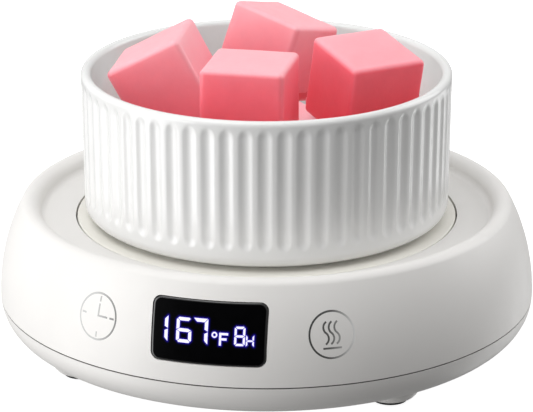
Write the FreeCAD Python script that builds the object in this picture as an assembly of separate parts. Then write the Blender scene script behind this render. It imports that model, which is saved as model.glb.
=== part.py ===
import FreeCAD, Part
import math
import os

os.makedirs("parts", exist_ok=True)

# Plate-type wax warmer: a round white base with a heating plate in its top tray, a fluted
# ceramic dish standing on the plate, and nine wax cubes in the dish.
# Millimetres. Z is up, the feet stand on Z = 0, and the display faces -Y.

# --- base shell ---
WALL = 2.2                # moulded wall thickness
BELLY_Z = 13.5            # height of the widest section
SIDE_R = 54.0             # radius of the bulging side, seen from the side
SIDE_CX = 21.0            # distance of that arc's centre from the axis
ROLL_R = 2.85             # rounded top edge
ROLL_ANGLE = 28.0         # where the side runs into the top edge, in degrees
LOWER_R = 10.2            # rounded lower edge
SEAM_Z = 13.1             # joint between the upper and lower shells
SEAM_CHAMFER = 0.15
SEAM_GAP = 0.25           # shadow gap above the joint
SEAM_DEPTH = 0.9
TRAY_Z = 35.6             # tray floor and top of the heating plate
TRAY_T = 2.0              # tray floor thickness
TRAY_HOLE_R = 53.45
TRAY_FILLET = 1.6         # between the tray floor and the top edge
LIP_R0, LIP_R1 = 71.6, 72.7   # locating lip of the lower shell
LIP_Z = 15.1

# --- feet and the screws above them ---
CORNERS = (45.0, 135.0, 225.0, 315.0)
FOOT_R = 60.4             # distance of the feet from the axis
PAD_R = 4.8
PAD_T = 1.8
PAD_EDGE = 0.2            # rounded lower edge of a pad
BOSS_Z = 0.85             # lower end of a foot boss
HEAD_R, HEAD_T = 2.9, 2.3
SHANK_R = 1.5
SCREW_TOP = 22.0
POST_TOP = 12.0           # lower shell posts meet the upper shell columns here
COLUMN_R = 3.6

# --- heating plate and what is under it ---
PLATE_R = 53.0
PLATE_T = 1.6
SKIRT_T = 1.8
FLANGE_R = 55.8
FLANGE_T = 1.0
GASKET_T = 0.8
FILM_R, FILM_T = 48.0, 0.7
FELT_R, FELT_T = 49.5, 3.0
CARRIER_R, CARRIER_T = 56.5, 1.5
CARRIER_HOLE_R = 9.0
EARS = (90.0, 210.0, 330.0)
EAR_R = 59.8
EAR_PAD_R = 3.4

# --- display and touch keys ---
WINDOW_W = 30.5
WINDOW_Z0, WINDOW_Z1 = 19.0, 35.2
WINDOW_CORNER = 2.2
WINDOW_T = 1.6
WINDOW_GAP = 0.12
DIGIT_T = 0.8
KEY_ANGLE = 25.2          # keys to either side of the display, in degrees
KEY_Z = 26.7
KEY_R = 6.2
KEY_STROKE = 0.5
FOIL_T = 0.12
BOARD_Y = -60.6           # front face of the display board
BOARD_T = 1.6

# --- main board and its inlet ---
MAIN_Z = 10.0
MAIN_X, MAIN_Y0, MAIN_Y1 = 22.0, 12.0, 68.0
MAIN_TOP = MAIN_Z + BOARD_T
JACK_Z = 18.1
JACK_FACE_Y = 74.0
JACK_BORE_R = 3.15
JACK_BORE_DEPTH = 9.5
PIN_R = 1.0
PIN_ROOT_R = 0.8          # thinner end of the pin, held in the inlet's body
PIN_BACK_Y = 62.0
PIN_ROOT_Y = 65.0         # where the thinner end stops, just clear of the bore's bottom

# --- dish ---
RIM_Z = 77.5
RIM_R = 51.2
DISH_WALL = 2.8
DISH_BASE_R = 50.8        # outside radius where the wall meets the rounded lower edge
DISH_EDGE = 3.2           # rounded lower edge
DISH_UNDER_Z = 36.7
DISH_RECESS_Z = 37.6      # underside inside the foot ring
DISH_FLOOR_Z = 40.0
DISH_INNER_FILLET = 3.0
RING_R0, RING_R1 = 43.5, 46.0   # foot ring under the dish
FLUTES = 63
FLUTE_R = 2.2             # radius of the cutter that makes one flute
FLUTE_DEPTH = 0.7
FLUTE_Z0, FLUTE_Z1 = 43.9, 73.2   # centres of a flute's round ends

# --- wax cubes ---
CUBE = 23.0
CUBE_EDGE = 1.2
LAYER_GAP = 0.1           # air under a cube that lies flat
# lower layer: centre X, centre Y, turn about Z
LOWER_CUBES = (
    (15.7, -27.9, 13.8),
    (-13.0, -29.1, -25.5),
    (3.6, 3.1, 39.6),
    (22.0, 24.6, 52.8),
    (-23.4, 20.1, 3.7),
)
# upper cubes: centre, then turn about Z, tip about X and tip about Y
UPPER_CUBES = {
    "wax_cube_front": ((0.6, -24.4, 74.9), 0.0, 0.0, 0.0),
    "wax_cube_left": ((-26.9, -3.9, 73.1), 2.5, 1.4, -28.4),
    "wax_cube_back": ((-3.8, 31.0, 73.0), 66.0, 12.0, 13.8),
    "wax_cube_right": ((27.4, -0.1, 73.7), 42.0, 11.0, 0.6),
}

UP = FreeCAD.Vector(0, 0, 1)
ORIGIN = FreeCAD.Vector(0, 0, 0)


# ---------------------------------------------------------------- basic shapes

def vec(x, y, z):
    return FreeCAD.Vector(x, y, z)


def at(radius, degrees, z):
    """Point at a distance from the axis, at an angle measured from +X."""
    a = math.radians(degrees)
    return vec(radius * math.cos(a), radius * math.sin(a), z)


def cyl(radius, z0, z1, centre=ORIGIN):
    return Part.makeCylinder(radius, z1 - z0, vec(centre.x, centre.y, z0), UP)


def ring(r0, r1, z0, z1, centre=ORIGIN):
    return cyl(r1, z0, z1, centre).cut(cyl(r0, z0 - 1, z1 + 1, centre))


def block(x0, x1, y0, y1, z0, z1):
    return Part.makeBox(x1 - x0, y1 - y0, z1 - z0, vec(x0, y0, z0))


def rod(start, end, radius):
    along = end.sub(start)
    return Part.makeCylinder(radius, along.Length, start, along)


def fused(shapes):
    whole = shapes[0]
    for shape in shapes[1:]:
        whole = whole.fuse(shape)
    return whole.removeSplitter()


def arc(cx, cz, radius, a0, a1):
    """Arc edge in the XZ plane about (cx, cz), from angle a0 to a1 in degrees."""
    points = []
    for a in (a0, (a0 + a1) / 2, a1):
        t = math.radians(a)
        points.append(vec(cx + radius * math.cos(t), 0, cz + radius * math.sin(t)))
    return Part.Arc(*points).toShape()


def outline(items):
    """Face in the XZ plane from arcs and (x, z) points, closed with straight lines."""
    edges = []
    first = None
    last = None
    for item in items:
        if isinstance(item, tuple):
            start = vec(item[0], 0, item[1])
            end = start
        else:
            start = item.valueAt(item.FirstParameter)
            end = item.valueAt(item.LastParameter)
        if last is not None and last.distanceToPoint(start) > 1e-6:
            edges.append(Part.makeLine(last, start))
        if not isinstance(item, tuple):
            edges.append(item)
        first = first or start
        last = end
    if last.distanceToPoint(first) > 1e-6:
        edges.append(Part.makeLine(last, first))
    return Part.Face(Part.Wire(edges))


def turned(items):
    return outline(items).revolve(ORIGIN, UP, 360)


def prism(face, y0, y1):
    """Extrudes a face in the XZ plane from y0 to y1."""
    moved = face.copy()
    moved.translate(vec(0, y0, 0))
    return moved.extrude(vec(0, y1 - y0, 0))


def spun(shape, degrees):
    turned_shape = shape.copy()
    turned_shape.rotate(ORIGIN, UP, degrees)
    return turned_shape


def rounded_rectangle(x0, x1, z0, z1, r):
    return outline([
        arc(x1 - r, z0 + r, r, -90, 0),
        arc(x1 - r, z1 - r, r, 0, 90),
        arc(x0 + r, z1 - r, r, 90, 180),
        arc(x0 + r, z0 + r, r, 180, 270),
    ])


def screw(centre, head_z, head_t, head_r, shank_r, tip_z):
    """Pan-head screw: the head reaches from head_z away from the tip."""
    up = 1 if tip_z > head_z else -1
    head = rod(vec(centre.x, centre.y, head_z), vec(centre.x, centre.y, head_z - up * head_t), head_r)
    shank = rod(vec(centre.x, centre.y, head_z), vec(centre.x, centre.y, tip_z), shank_r)
    slot = block(-head_r, head_r, -0.3, 0.3, -0.5, 0.5)
    cross = slot.fuse(spun(slot, 90))
    cross.translate(vec(centre.x, centre.y, head_z - up * head_t))
    return head.cut(cross).fuse(shank).removeSplitter()


def lead(points, radius, bend):
    """Insulated wire through the points, with every corner rounded to the bend radius."""
    edges = []
    last = points[0]
    for before, corner, after in zip(points, points[1:], points[2:]):
        to_before = before.sub(corner).normalize()
        to_after = after.sub(corner).normalize()
        half = to_before.getAngle(to_after) / 2
        back = bend / math.tan(half)
        start = corner.add(to_before.multiply(back))
        end = corner.add(to_after.multiply(back))
        middle = start.add(end).multiply(0.5).sub(corner)
        reach = bend / math.sin(half) - bend
        crown = corner.add(middle.normalize().multiply(reach))
        edges.append(Part.makeLine(last, start))
        edges.append(Part.Arc(start, crown, end).toShape())
        last = end
    edges.append(Part.makeLine(last, points[-1]))
    path = Part.Wire(edges)
    section = Part.Wire(Part.makeCircle(radius, points[0], points[1].sub(points[0])))
    return path.makePipeShell([section], True, False)


def save(node, shape):
    shape.exportStep("parts/" + node + ".step")


# ---------------------------------------------------------------- base shell

def side_angle(z, depth):
    """Angle on the side arc, sunk by depth, at height z."""
    return math.degrees(math.asin((z - BELLY_Z) / (SIDE_R - depth)))


def side_skin(outer_depth, inner_depth, z0, z1):
    """Layer of the bulging side between two depths below the outer face."""
    outer = SIDE_R - outer_depth
    inner = SIDE_R - inner_depth
    return turned([
        arc(SIDE_CX, BELLY_Z, outer, side_angle(z0, outer_depth), side_angle(z1, outer_depth)),
        arc(SIDE_CX, BELLY_Z, inner, side_angle(z1, inner_depth), side_angle(z0, inner_depth)),
    ])


def inside_of_side(depth, z0, z1):
    """Everything deeper than the given depth below the outer face."""
    radius = SIDE_R - depth
    return turned([
        arc(SIDE_CX, BELLY_Z, radius, side_angle(z0, depth), side_angle(z1, depth)),
        (0, z1),
        (0, z0),
    ])


def upper_shell():
    lift = math.radians(ROLL_ANGLE)
    roll_x = SIDE_CX + (SIDE_R - ROLL_R) * math.cos(lift)
    roll_z = BELLY_Z + (SIDE_R - ROLL_R) * math.sin(lift)
    fillet_z = TRAY_Z + TRAY_FILLET
    reach = ROLL_R + TRAY_FILLET
    fillet_x = roll_x - math.sqrt(reach ** 2 - (roll_z - fillet_z) ** 2)
    meet = math.degrees(math.atan2(fillet_z - roll_z, fillet_x - roll_x)) % 360
    core_r = ROLL_R - WALL
    core_x = roll_x - core_r
    gap_r = SIDE_CX + SIDE_R - SEAM_DEPTH
    return turned([
        (gap_r, SEAM_Z),
        (gap_r, SEAM_Z + SEAM_GAP),
        arc(SIDE_CX, BELLY_Z, SIDE_R, side_angle(SEAM_Z + SEAM_GAP, 0), ROLL_ANGLE),
        arc(roll_x, roll_z, ROLL_R, ROLL_ANGLE, meet),
        arc(fillet_x, fillet_z, TRAY_FILLET, meet - 180, -90),
        (TRAY_HOLE_R, TRAY_Z),
        (TRAY_HOLE_R, TRAY_Z - TRAY_T),
        (core_x, TRAY_Z - TRAY_T),
        arc(roll_x, roll_z, core_r, 180, ROLL_ANGLE),
        arc(SIDE_CX, BELLY_Z, SIDE_R - WALL, ROLL_ANGLE, side_angle(SEAM_Z, WALL)),
    ])


def window_face(grow):
    half = WINDOW_W / 2 + grow
    return rounded_rectangle(-half, half, WINDOW_Z0 - grow, WINDOW_Z1 + grow, WINDOW_CORNER + grow)


def jack_opening():
    """Round hole for the inlet, with a shallow flat around it."""
    hole = rod(vec(0, 60, JACK_Z), vec(0, 90, JACK_Z), 4.15)
    flat = rod(vec(0, JACK_FACE_Y + 0.25, JACK_Z), vec(0, 90, JACK_Z), 4.8)
    return hole.fuse(flat)


def upper_housing(icons):
    tray_under = TRAY_Z - TRAY_T
    ear_z = carrier_bottom() + CARRIER_T
    shell = upper_shell()
    posts = []
    holes = []
    for degrees in CORNERS:
        foot = at(FOOT_R, degrees, 0)
        posts.append(cyl(COLUMN_R, POST_TOP, tray_under + 0.5, foot))
        holes.append(cyl(SHANK_R + 0.05, POST_TOP - 1, SCREW_TOP + 1, foot))
    for degrees in EARS:
        ear = at(EAR_R, degrees, 0)
        posts.append(cyl(2.9, ear_z, tray_under + 0.5, ear))
        holes.append(cyl(1.3, ear_z - 1, tray_under + 0.8, ear))
    shell = fused([shell] + posts)
    shell = shell.cut(holes)
    shell = shell.cut([prism(window_face(WINDOW_GAP), -90, -60), jack_opening()])
    return shell.cut(icons)


def lower_housing():
    centre_x = SIDE_CX + SIDE_R - LOWER_R
    inner_r = LOWER_R - WALL
    floor = BELLY_Z - LOWER_R
    seam_r = SIDE_CX + SIDE_R - 2 * SEAM_CHAMFER
    start = math.degrees(math.asin((SEAM_Z - SEAM_CHAMFER - BELLY_Z) / LOWER_R))
    end = math.degrees(math.asin((SEAM_Z - BELLY_Z) / inner_r))
    bowl = turned([
        (seam_r, SEAM_Z),
        arc(centre_x, BELLY_Z, LOWER_R, start, -90),
        (0, floor),
        (0, floor + WALL),
        arc(centre_x, BELLY_Z, inner_r, -90, end),
    ])
    lip = ring(LIP_R0, LIP_R1, 11.0, LIP_Z).cut(block(-6, 6, 60, 80, SEAM_Z, LIP_Z + 1))
    added = [bowl, lip]
    cut = []
    for degrees in CORNERS:
        foot = at(FOOT_R, degrees, 0)
        flare = outline([
            (0, BOSS_Z),
            Part.Arc(vec(5.3, 0, BOSS_Z), vec(6.8, 0, 1.7), vec(7.9, 0, floor)).toShape(),
            (7.9, floor + 0.5),
            (0, floor + 0.5),
        ]).revolve(ORIGIN, UP, 360)
        flare.translate(foot)
        added.append(flare)
        added.append(cyl(4.2, floor + 1, POST_TOP, foot))
        cut.append(cyl(PAD_R + 0.1, BOSS_Z - 1, PAD_T + 0.1, foot))
        cut.append(cyl(HEAD_R + 0.2, PAD_T, PAD_T + 0.2 + HEAD_T, foot))
        cut.append(cyl(SHANK_R + 0.2, PAD_T, POST_TOP + 1, foot))
    for x, y in board_screw_places():
        place = vec(x, y, 0)
        added.append(cyl(3.0, floor + 1, MAIN_Z, place))
        cut.append(cyl(1.15, floor + WALL, MAIN_Z + 1, place))
    return fused(added).cut(cut)


def foot_pads():
    pads = []
    for degrees in CORNERS:
        pad = cyl(PAD_R, 0, PAD_T, at(FOOT_R, degrees, 0))
        pads.append(pad.makeFillet(PAD_EDGE, [e for e in pad.Edges if e.BoundBox.ZMax < 0.01]))
    return Part.makeCompound(pads)


def housing_screws():
    head_z = PAD_T + 0.2 + HEAD_T
    places = [at(FOOT_R, degrees, 0) for degrees in CORNERS]
    return Part.makeCompound([screw(p, head_z, HEAD_T, HEAD_R, SHANK_R, SCREW_TOP) for p in places])


# ---------------------------------------------------------------- heater stack

def flange_bottom():
    return TRAY_Z - TRAY_T - GASKET_T - FLANGE_T


def film_bottom():
    return TRAY_Z - PLATE_T - FILM_T


def carrier_bottom():
    return film_bottom() - FELT_T - CARRIER_T


def heating_plate():
    z0 = flange_bottom()
    return turned([
        (0, TRAY_Z),
        arc(PLATE_R - 0.4, TRAY_Z - 0.4, 0.4, 90, 0),
        (PLATE_R, z0 + FLANGE_T),
        (FLANGE_R, z0 + FLANGE_T),
        (FLANGE_R, z0),
        (PLATE_R - SKIRT_T, z0),
        (PLATE_R - SKIRT_T, TRAY_Z - PLATE_T),
        (0, TRAY_Z - PLATE_T),
    ])


def plate_gasket():
    z1 = TRAY_Z - TRAY_T
    return ring(PLATE_R + 0.6, FLANGE_R, z1 - GASKET_T, z1)


def heater_film():
    return cyl(FILM_R, film_bottom(), film_bottom() + FILM_T)


def insulation_pad():
    return ring(CARRIER_HOLE_R, FELT_R, film_bottom() - FELT_T, film_bottom())


def heater_carrier():
    z0 = carrier_bottom()
    z1 = z0 + CARRIER_T
    base = ring(CARRIER_HOLE_R, CARRIER_R, z0, z1)
    rim = ring(FELT_R + 0.3, CARRIER_R, z0, flange_bottom())
    ears = [cyl(EAR_PAD_R, z0, z1, at(EAR_R, degrees, 0)) for degrees in EARS]
    clear = [cyl(3.1, z1, flange_bottom() + 1, at(EAR_R, degrees, 0)) for degrees in EARS]
    holes = [cyl(1.4, z0 - 1, z1 + 1, at(EAR_R, degrees, 0)) for degrees in EARS]
    return fused([base, rim] + ears).cut(clear + holes)


def carrier_screws():
    places = [at(EAR_R, degrees, 0) for degrees in EARS]
    tip = TRAY_Z - TRAY_T + 0.5
    return Part.makeCompound([screw(p, carrier_bottom(), 1.6, 2.3, 1.25, tip) for p in places])


def temperature_sensor():
    z = film_bottom() - 1.5
    body = rod(vec(-3.5, -4, z), vec(3.5, -4, z), 1.5)
    return body.fuse(Part.makeSphere(1.5, vec(-3.5, -4, z)))


def sensor_clip():
    """Spring strip that presses the sensor to the heater."""
    z = film_bottom() - 3.0
    strip = block(-1.5, 1.5, -7.5, -0.5, z - 0.4, z)
    legs = [block(-1.5, 1.5, y, y + 0.4, z - 0.4, film_bottom()) for y in (-7.5, -0.9)]
    return fused([strip] + legs)


def thermal_fuse():
    z = film_bottom() - 2.0
    return rod(vec(-5.5, 4.5, z), vec(5.5, 4.5, z), 2.0)


# ---------------------------------------------------------------- display and keys

SEGMENTS = {"1": "bc", "6": "acdefg", "7": "abc", "8": "abcdefg", "F": "F", "H": "bcefg"}
SEGMENT_GAP = 0.12        # half the gap between two bars that meet


def segments(w, h, s):
    """Mitred bars a to g of a character w wide and h high with stroke s, and a solid letter F."""
    g = SEGMENT_GAP
    m = h / 2
    n = s / 2
    arm = 0.85 * w
    return {
        "a": ((g, h), (w - g, h), (w - s - g, h - s), (s + g, h - s)),
        "b": ((w, h - g), (w, m + g), (w - s, m + n + g), (w - s, h - s - g)),
        "c": ((w, m - g), (w, g), (w - s, s + g), (w - s, m - n - g)),
        "d": ((g, 0), (s + g, s), (w - s - g, s), (w - g, 0)),
        "e": ((0, g), (0, m - g), (s, m - n - g), (s, s + g)),
        "f": ((0, m + g), (0, h - g), (s, h - s - g), (s, m + n + g)),
        "g": ((g, m), (s + g, m + n), (w - s - g, m + n), (w - g, m), (w - s - g, m - n), (s + g, m - n)),
        "F": ((0, 0), (s, 0), (s, m - n), (arm, m - n), (arm, m + n), (s, m + n), (s, h - s), (w, h - s),
              (w, h), (0, h)),
    }


def character(sign, x, z, width, height, stroke, cut):
    """Faces of one lit character with its lower left corner at (x, z) and its outer corners cut off."""
    bars = segments(width, height, stroke)
    faces = [outline([(x + px, z + pz) for px, pz in bars[name]]) for name in SEGMENTS[sign]]
    if not cut:
        return faces
    xs = (x, x + cut, x + width - cut, x + width)
    zs = (z, z + cut, z + height - cut, z + height)
    corners = [(1, 0), (2, 0), (3, 1), (3, 2), (2, 3), (1, 3), (0, 2), (0, 1)]
    limit = outline([(xs[i], zs[k]) for i, k in corners])
    return [face.common(limit).Faces[0] for face in faces]


# sign, left, bottom, width, height, stroke, cut of the outer corners
READING = (
    ("1", -14.8, 24.15, 4.0, 6.6, 0.85, 0),
    ("6", -8.45, 24.35, 4.05, 6.3, 0.8, 0.65),
    ("7", -3.95, 24.35, 3.9, 6.45, 0.85, 0),
    ("F", 3.0, 24.4, 2.3, 3.2, 0.55, 0),
    ("8", 6.95, 24.5, 2.75, 4.85, 0.55, 0.45),
    ("H", 9.95, 24.3, 2.05, 3.05, 0.4, 0),
)
DEGREE_X, DEGREE_Z, DEGREE_R0, DEGREE_R1 = 1.75, 27.0, 0.4, 0.75


def digit_prisms():
    faces = []
    for item in READING:
        faces.extend(character(*item))
    solids = [prism(face, -90, -60) for face in faces]
    outer = rod(vec(DEGREE_X, -90, DEGREE_Z), vec(DEGREE_X, -60, DEGREE_Z), DEGREE_R1)
    inner = rod(vec(DEGREE_X, -91, DEGREE_Z), vec(DEGREE_X, -59, DEGREE_Z), DEGREE_R0)
    return solids + [outer.cut(inner)]


def display_digits():
    skin = side_skin(0, DIGIT_T, WINDOW_Z0, WINDOW_Z1)
    return Part.makeCompound([skin.common(solid) for solid in digit_prisms()])


def display_window():
    skin = side_skin(0, WINDOW_T, WINDOW_Z0 - 1, WINDOW_Z1 + 1)
    panel = skin.common(prism(window_face(0), -90, -60))
    return panel.cut(display_digits().Solids)


def display_frame():
    """Black frame behind the window, which holds the digit module."""
    deep = inside_of_side(WALL + 0.1, 17.0, 34.0)
    body = block(-18.5, 18.5, -72.5, BOARD_Y, 18.4, 33.3).common(deep)
    ledge = side_skin(WINDOW_T, WALL + 0.3, 18.0, 36.0).common(prism(window_face(0), -90, -60))
    cavity = block(-14.7, 14.7, -80, BOARD_Y + 1, 20.3, 32.9)
    holes = [rod(vec(x, -66, 26.7), vec(x, -60, 26.7), 0.8) for x in (-16.6, 16.6)]
    return body.fuse(ledge).removeSplitter().cut([cavity] + holes)


def led_module():
    return block(-14.4, 14.4, -67.2, BOARD_Y, 20.5, 32.7)


def display_board():
    back = BOARD_Y + BOARD_T
    wide = block(-33.2, 33.2, BOARD_Y, back, 17.6, 30.2)
    tall = block(-18.5, 18.5, BOARD_Y, back, 17.6, 33.2)
    holes = [rod(vec(x, -65, 26.7), vec(x, -55, 26.7), 0.95) for x in (-16.6, 16.6)]
    return wide.fuse(tall).removeSplitter().cut(holes)


def display_board_screws():
    screws = []
    for x in (-16.6, 16.6):
        one = screw(ORIGIN, 0, 1.2, 1.6, 0.75, 5.0)
        one.rotate(ORIGIN, vec(1, 0, 0), 90)
        one.translate(vec(x, BOARD_Y + BOARD_T, 26.7))
        screws.append(one)
    return Part.makeCompound(screws)


def touch_pads():
    """Conductive foam pads between the display board and the wall behind each key."""
    deep = inside_of_side(WALL + 0.05, 20.0, 33.0)
    x = (SIDE_CX + SIDE_R) * math.sin(math.radians(KEY_ANGLE)) - 1.2
    pads = [rod(vec(s * x, -75, KEY_Z - 1.5), vec(s * x, BOARD_Y, KEY_Z - 1.5), 2.4) for s in (-1, 1)]
    return Part.makeCompound([deep.common(pad) for pad in pads])


def key_ring():
    outer = rod(vec(0, -90, KEY_Z), vec(0, -60, KEY_Z), KEY_R)
    inner = rod(vec(0, -91, KEY_Z), vec(0, -59, KEY_Z), KEY_R - KEY_STROKE)
    return outer.cut(inner)


def stroke_block(x0, x1, z0, z1):
    """Straight stroke of an icon, given relative to the key's centre."""
    return block(x0, x1, -90, -60, KEY_Z + z0, KEY_Z + z1)


def clock_strokes():
    """Ring, four ticks and two hands; the hands meet a little above and right of the ring's centre."""
    h = KEY_STROKE / 2
    x, z = 0.03 * KEY_R, 0.05 * KEY_R
    ticks = [
        stroke_block(x - h, x + h, 0.63 * KEY_R, 0.86 * KEY_R),
        stroke_block(x - h, x + h, -0.86 * KEY_R, -0.63 * KEY_R),
        stroke_block(0.63 * KEY_R, 0.86 * KEY_R, z - h, z + h),
        stroke_block(-0.86 * KEY_R, -0.63 * KEY_R, z - h, z + h),
    ]
    upright = stroke_block(x - h, x + h, z - h, 0.55 * KEY_R)
    hands = upright.fuse(stroke_block(x - h, 0.52 * KEY_R, z - h, z + h))
    return [key_ring(), hands.removeSplitter()] + ticks


def heat_wave(x):
    """One S-shaped line of rising heat, of even width, leaning a little to the right."""
    h = KEY_STROKE / 2
    low, high = [KEY_Z + share * KEY_R for share in (-0.37, 0.55)]
    quarter = (high - low) / 4
    bulge = 0.12 * KEY_R
    radius = (quarter ** 2 + bulge ** 2) / (2 * bulge)
    half = math.degrees(math.asin(quarter / radius))
    left = x + bulge - radius
    right = x - bulge + radius
    face = outline([
        arc(left, low + quarter, radius + h, -half, half),
        arc(right, high - quarter, radius - h, 180 + half, 180 - half),
        arc(right, high - quarter, radius + h, 180 - half, 180 + half),
        arc(left, low + quarter, radius - h, half, -half),
    ])
    face.rotate(vec(x, 0, (low + high) / 2), vec(0, 1, 0), 4)
    return prism(face, -90, -60)


def heat_strokes():
    waves = [heat_wave(share * KEY_R) for share in (-0.25, -0.02, 0.22)]
    foot = stroke_block(-0.40 * KEY_R, 0.40 * KEY_R, -0.58 * KEY_R, -0.50 * KEY_R)
    return [key_ring(), foot] + waves


def icon(strokes, degrees):
    skin = side_skin(0, FOIL_T, KEY_Z - 2 * KEY_R, KEY_Z + 1.6 * KEY_R)
    return Part.makeCompound([skin.common(spun(stroke, degrees)) for stroke in strokes])


# ---------------------------------------------------------------- main board

def board_screw_places():
    return [(x, y) for x in (-18.5, 18.5) for y in (16.0, 56.0)]


def main_board():
    board = block(-MAIN_X, MAIN_X, MAIN_Y0, MAIN_Y1, MAIN_Z, MAIN_TOP)
    return board.cut([cyl(1.4, MAIN_Z - 1, MAIN_TOP + 1, vec(x, y, 0)) for x, y in board_screw_places()])


def main_board_screws():
    return Part.makeCompound([
        screw(vec(x, y, 0), MAIN_TOP, 1.5, 2.4, 1.1, 6.0) for x, y in board_screw_places()
    ])


def dc_jack():
    body = block(-4.5, 4.5, 59.5, 71.3, MAIN_TOP, 22.6)
    nose = rod(vec(0, 70, JACK_Z), vec(0, JACK_FACE_Y, JACK_Z), 4.0)
    bore = rod(vec(0, JACK_FACE_Y - JACK_BORE_DEPTH, JACK_Z), vec(0, 80, JACK_Z), JACK_BORE_R)
    root = rod(vec(0, PIN_BACK_Y, JACK_Z), vec(0, PIN_ROOT_Y, JACK_Z), PIN_ROOT_R)
    return body.fuse(nose).removeSplitter().cut([bore, root])


def jack_pin():
    root = rod(vec(0, PIN_BACK_Y, JACK_Z), vec(0, PIN_ROOT_Y, JACK_Z), PIN_ROOT_R)
    return root.fuse(rod(vec(0, PIN_ROOT_Y, JACK_Z), vec(0, JACK_FACE_Y - 1.0, JACK_Z), PIN_R))


def controller_chip():
    body = block(-13, -3, 32, 39, MAIN_TOP + 0.15, MAIN_TOP + 1.75)
    legs = [block(-13.9, -2.1, 32.6 + 1.27 * i, 33.0 + 1.27 * i, MAIN_TOP, MAIN_TOP + 0.5) for i in range(5)]
    return fused([body] + legs)


def filter_capacitors():
    tall = cyl(4.0, MAIN_TOP, MAIN_TOP + 9.0, vec(11, 47, 0))
    short = cyl(3.15, MAIN_TOP, MAIN_TOP + 7.0, vec(11, 37, 0))
    return Part.makeCompound([tall, short])


def power_inductor():
    body = block(-15.5, -8.5, 46, 53, MAIN_TOP, MAIN_TOP + 4.0)
    return body.makeFillet(1.0, [e for e in body.Edges if e.BoundBox.ZLength > 3])


def power_transistor():
    body = block(1, 7.5, 26, 32, MAIN_TOP, MAIN_TOP + 2.3)
    tab = block(1.6, 6.9, 32, 34.5, MAIN_TOP, MAIN_TOP + 0.6)
    return body.fuse(tab)


def buzzer():
    centre = vec(-13, 24, 0)
    sound_hole = cyl(1.0, MAIN_TOP + 4, MAIN_TOP + 8, centre)
    return cyl(5.0, MAIN_TOP, MAIN_TOP + 6.0, centre).cut(sound_hole)


PLUGS = ((-5.0, 14.5), (3.5, 14.5), (12.0, 14.5))


def lead_connectors():
    """Three pin headers with their plugs, for the display, heater and sensor leads."""
    shells = []
    for x, y in PLUGS:
        shells.append(block(x - 3.2, x + 3.2, y - 2.3, y + 2.3, MAIN_TOP, MAIN_TOP + 5.5))
    return Part.makeCompound(shells)


def display_leads():
    x0, y0 = PLUGS[0]
    z_plug = MAIN_TOP + 5.5
    leads = []
    for i in range(5):
        x = x0 - 2.4 + 1.2 * i
        points = [vec(x, y0, z_plug), vec(x, y0, 21.0), vec(x, -52.0, 21.0), vec(x, -52.0, 25.0),
                  vec(x, BOARD_Y + BOARD_T, 25.0)]
        leads.append(lead(points, 0.45, 1.8))
    return Part.makeCompound(leads)


def heater_leads():
    x0, y0 = PLUGS[1]
    z_plug = MAIN_TOP + 5.5
    leads = []
    for side in (-1, 1):
        x = x0 + 1.2 * side
        points = [vec(x, y0, z_plug), vec(x, y0, 24.0), vec(side * 7.4, 0, 24.0), vec(side * 7.4, 0, film_bottom())]
        leads.append(lead(points, 0.7, 2.2))
    return Part.makeCompound(leads)


def sensor_leads():
    x0, y0 = PLUGS[2]
    z_plug = MAIN_TOP + 5.5
    z = film_bottom() - 1.5
    leads = []
    for side in (-0.7, 0.7):
        points = [vec(x0 + side, y0, z_plug), vec(x0 + side, y0, 20.5), vec(x0 + side, -4 + side, 20.5),
                  vec(5.6 + side, -4 + side, 20.5), vec(5.6 + side, -4 + side, z), vec(3.5, -4 + side, z)]
        leads.append(lead(points, 0.4, 1.2))
    return Part.makeCompound(leads)


# ---------------------------------------------------------------- dish

def flute_cutters():
    lean = math.atan2(RIM_R - DISH_BASE_R, RIM_Z - DISH_UNDER_Z - DISH_EDGE)
    axis_r0 = DISH_BASE_R + (FLUTE_Z0 - DISH_UNDER_Z - DISH_EDGE) * math.tan(lean) + FLUTE_R - FLUTE_DEPTH
    axis_r1 = axis_r0 + (FLUTE_Z1 - FLUTE_Z0) * math.tan(lean)
    low = vec(axis_r0, 0, FLUTE_Z0)
    high = vec(axis_r1, 0, FLUTE_Z1)
    cutter = fused([rod(low, high, FLUTE_R), Part.makeSphere(FLUTE_R, low), Part.makeSphere(FLUTE_R, high)])
    return [spun(cutter, -90 + 360 * i / FLUTES) for i in range(FLUTES)]


def wax_dish():
    lip = DISH_WALL / 2
    lip_z = RIM_Z - lip
    fillet_z = DISH_FLOOR_Z + DISH_INNER_FILLET
    inner_r = DISH_BASE_R - DISH_WALL
    bowl = turned([
        (0, DISH_RECESS_Z),
        (RING_R0, DISH_RECESS_Z),
        (RING_R0, TRAY_Z),
        (RING_R1, TRAY_Z),
        (RING_R1, DISH_UNDER_Z),
        arc(DISH_BASE_R - DISH_EDGE, DISH_UNDER_Z + DISH_EDGE, DISH_EDGE, -90, 0),
        arc(RIM_R - lip, lip_z, lip, 0, 180),
        arc(inner_r - DISH_INNER_FILLET, fillet_z, DISH_INNER_FILLET, 0, -90),
        (0, DISH_FLOOR_Z),
    ])
    return bowl.cut(flute_cutters())


# ---------------------------------------------------------------- wax cubes

def cube(centre, turn, tip_x, tip_y):
    h = CUBE / 2
    body = block(-h, h, -h, h, -h, h)
    body = body.makeFillet(CUBE_EDGE, body.Edges)
    body.rotate(ORIGIN, vec(0, 1, 0), tip_y)
    body.rotate(ORIGIN, vec(1, 0, 0), tip_x)
    body.rotate(ORIGIN, UP, turn)
    body.translate(centre)
    return body


def wax_cubes_lower():
    z = DISH_FLOOR_Z + LAYER_GAP + CUBE / 2
    return Part.makeCompound([cube(vec(x, y, z), turn, 0, 0) for x, y, turn in LOWER_CUBES])


# ---------------------------------------------------------------- the whole warmer

timer_icon = icon(clock_strokes(), -KEY_ANGLE)
heat_icon = icon(heat_strokes(), KEY_ANGLE)

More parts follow.
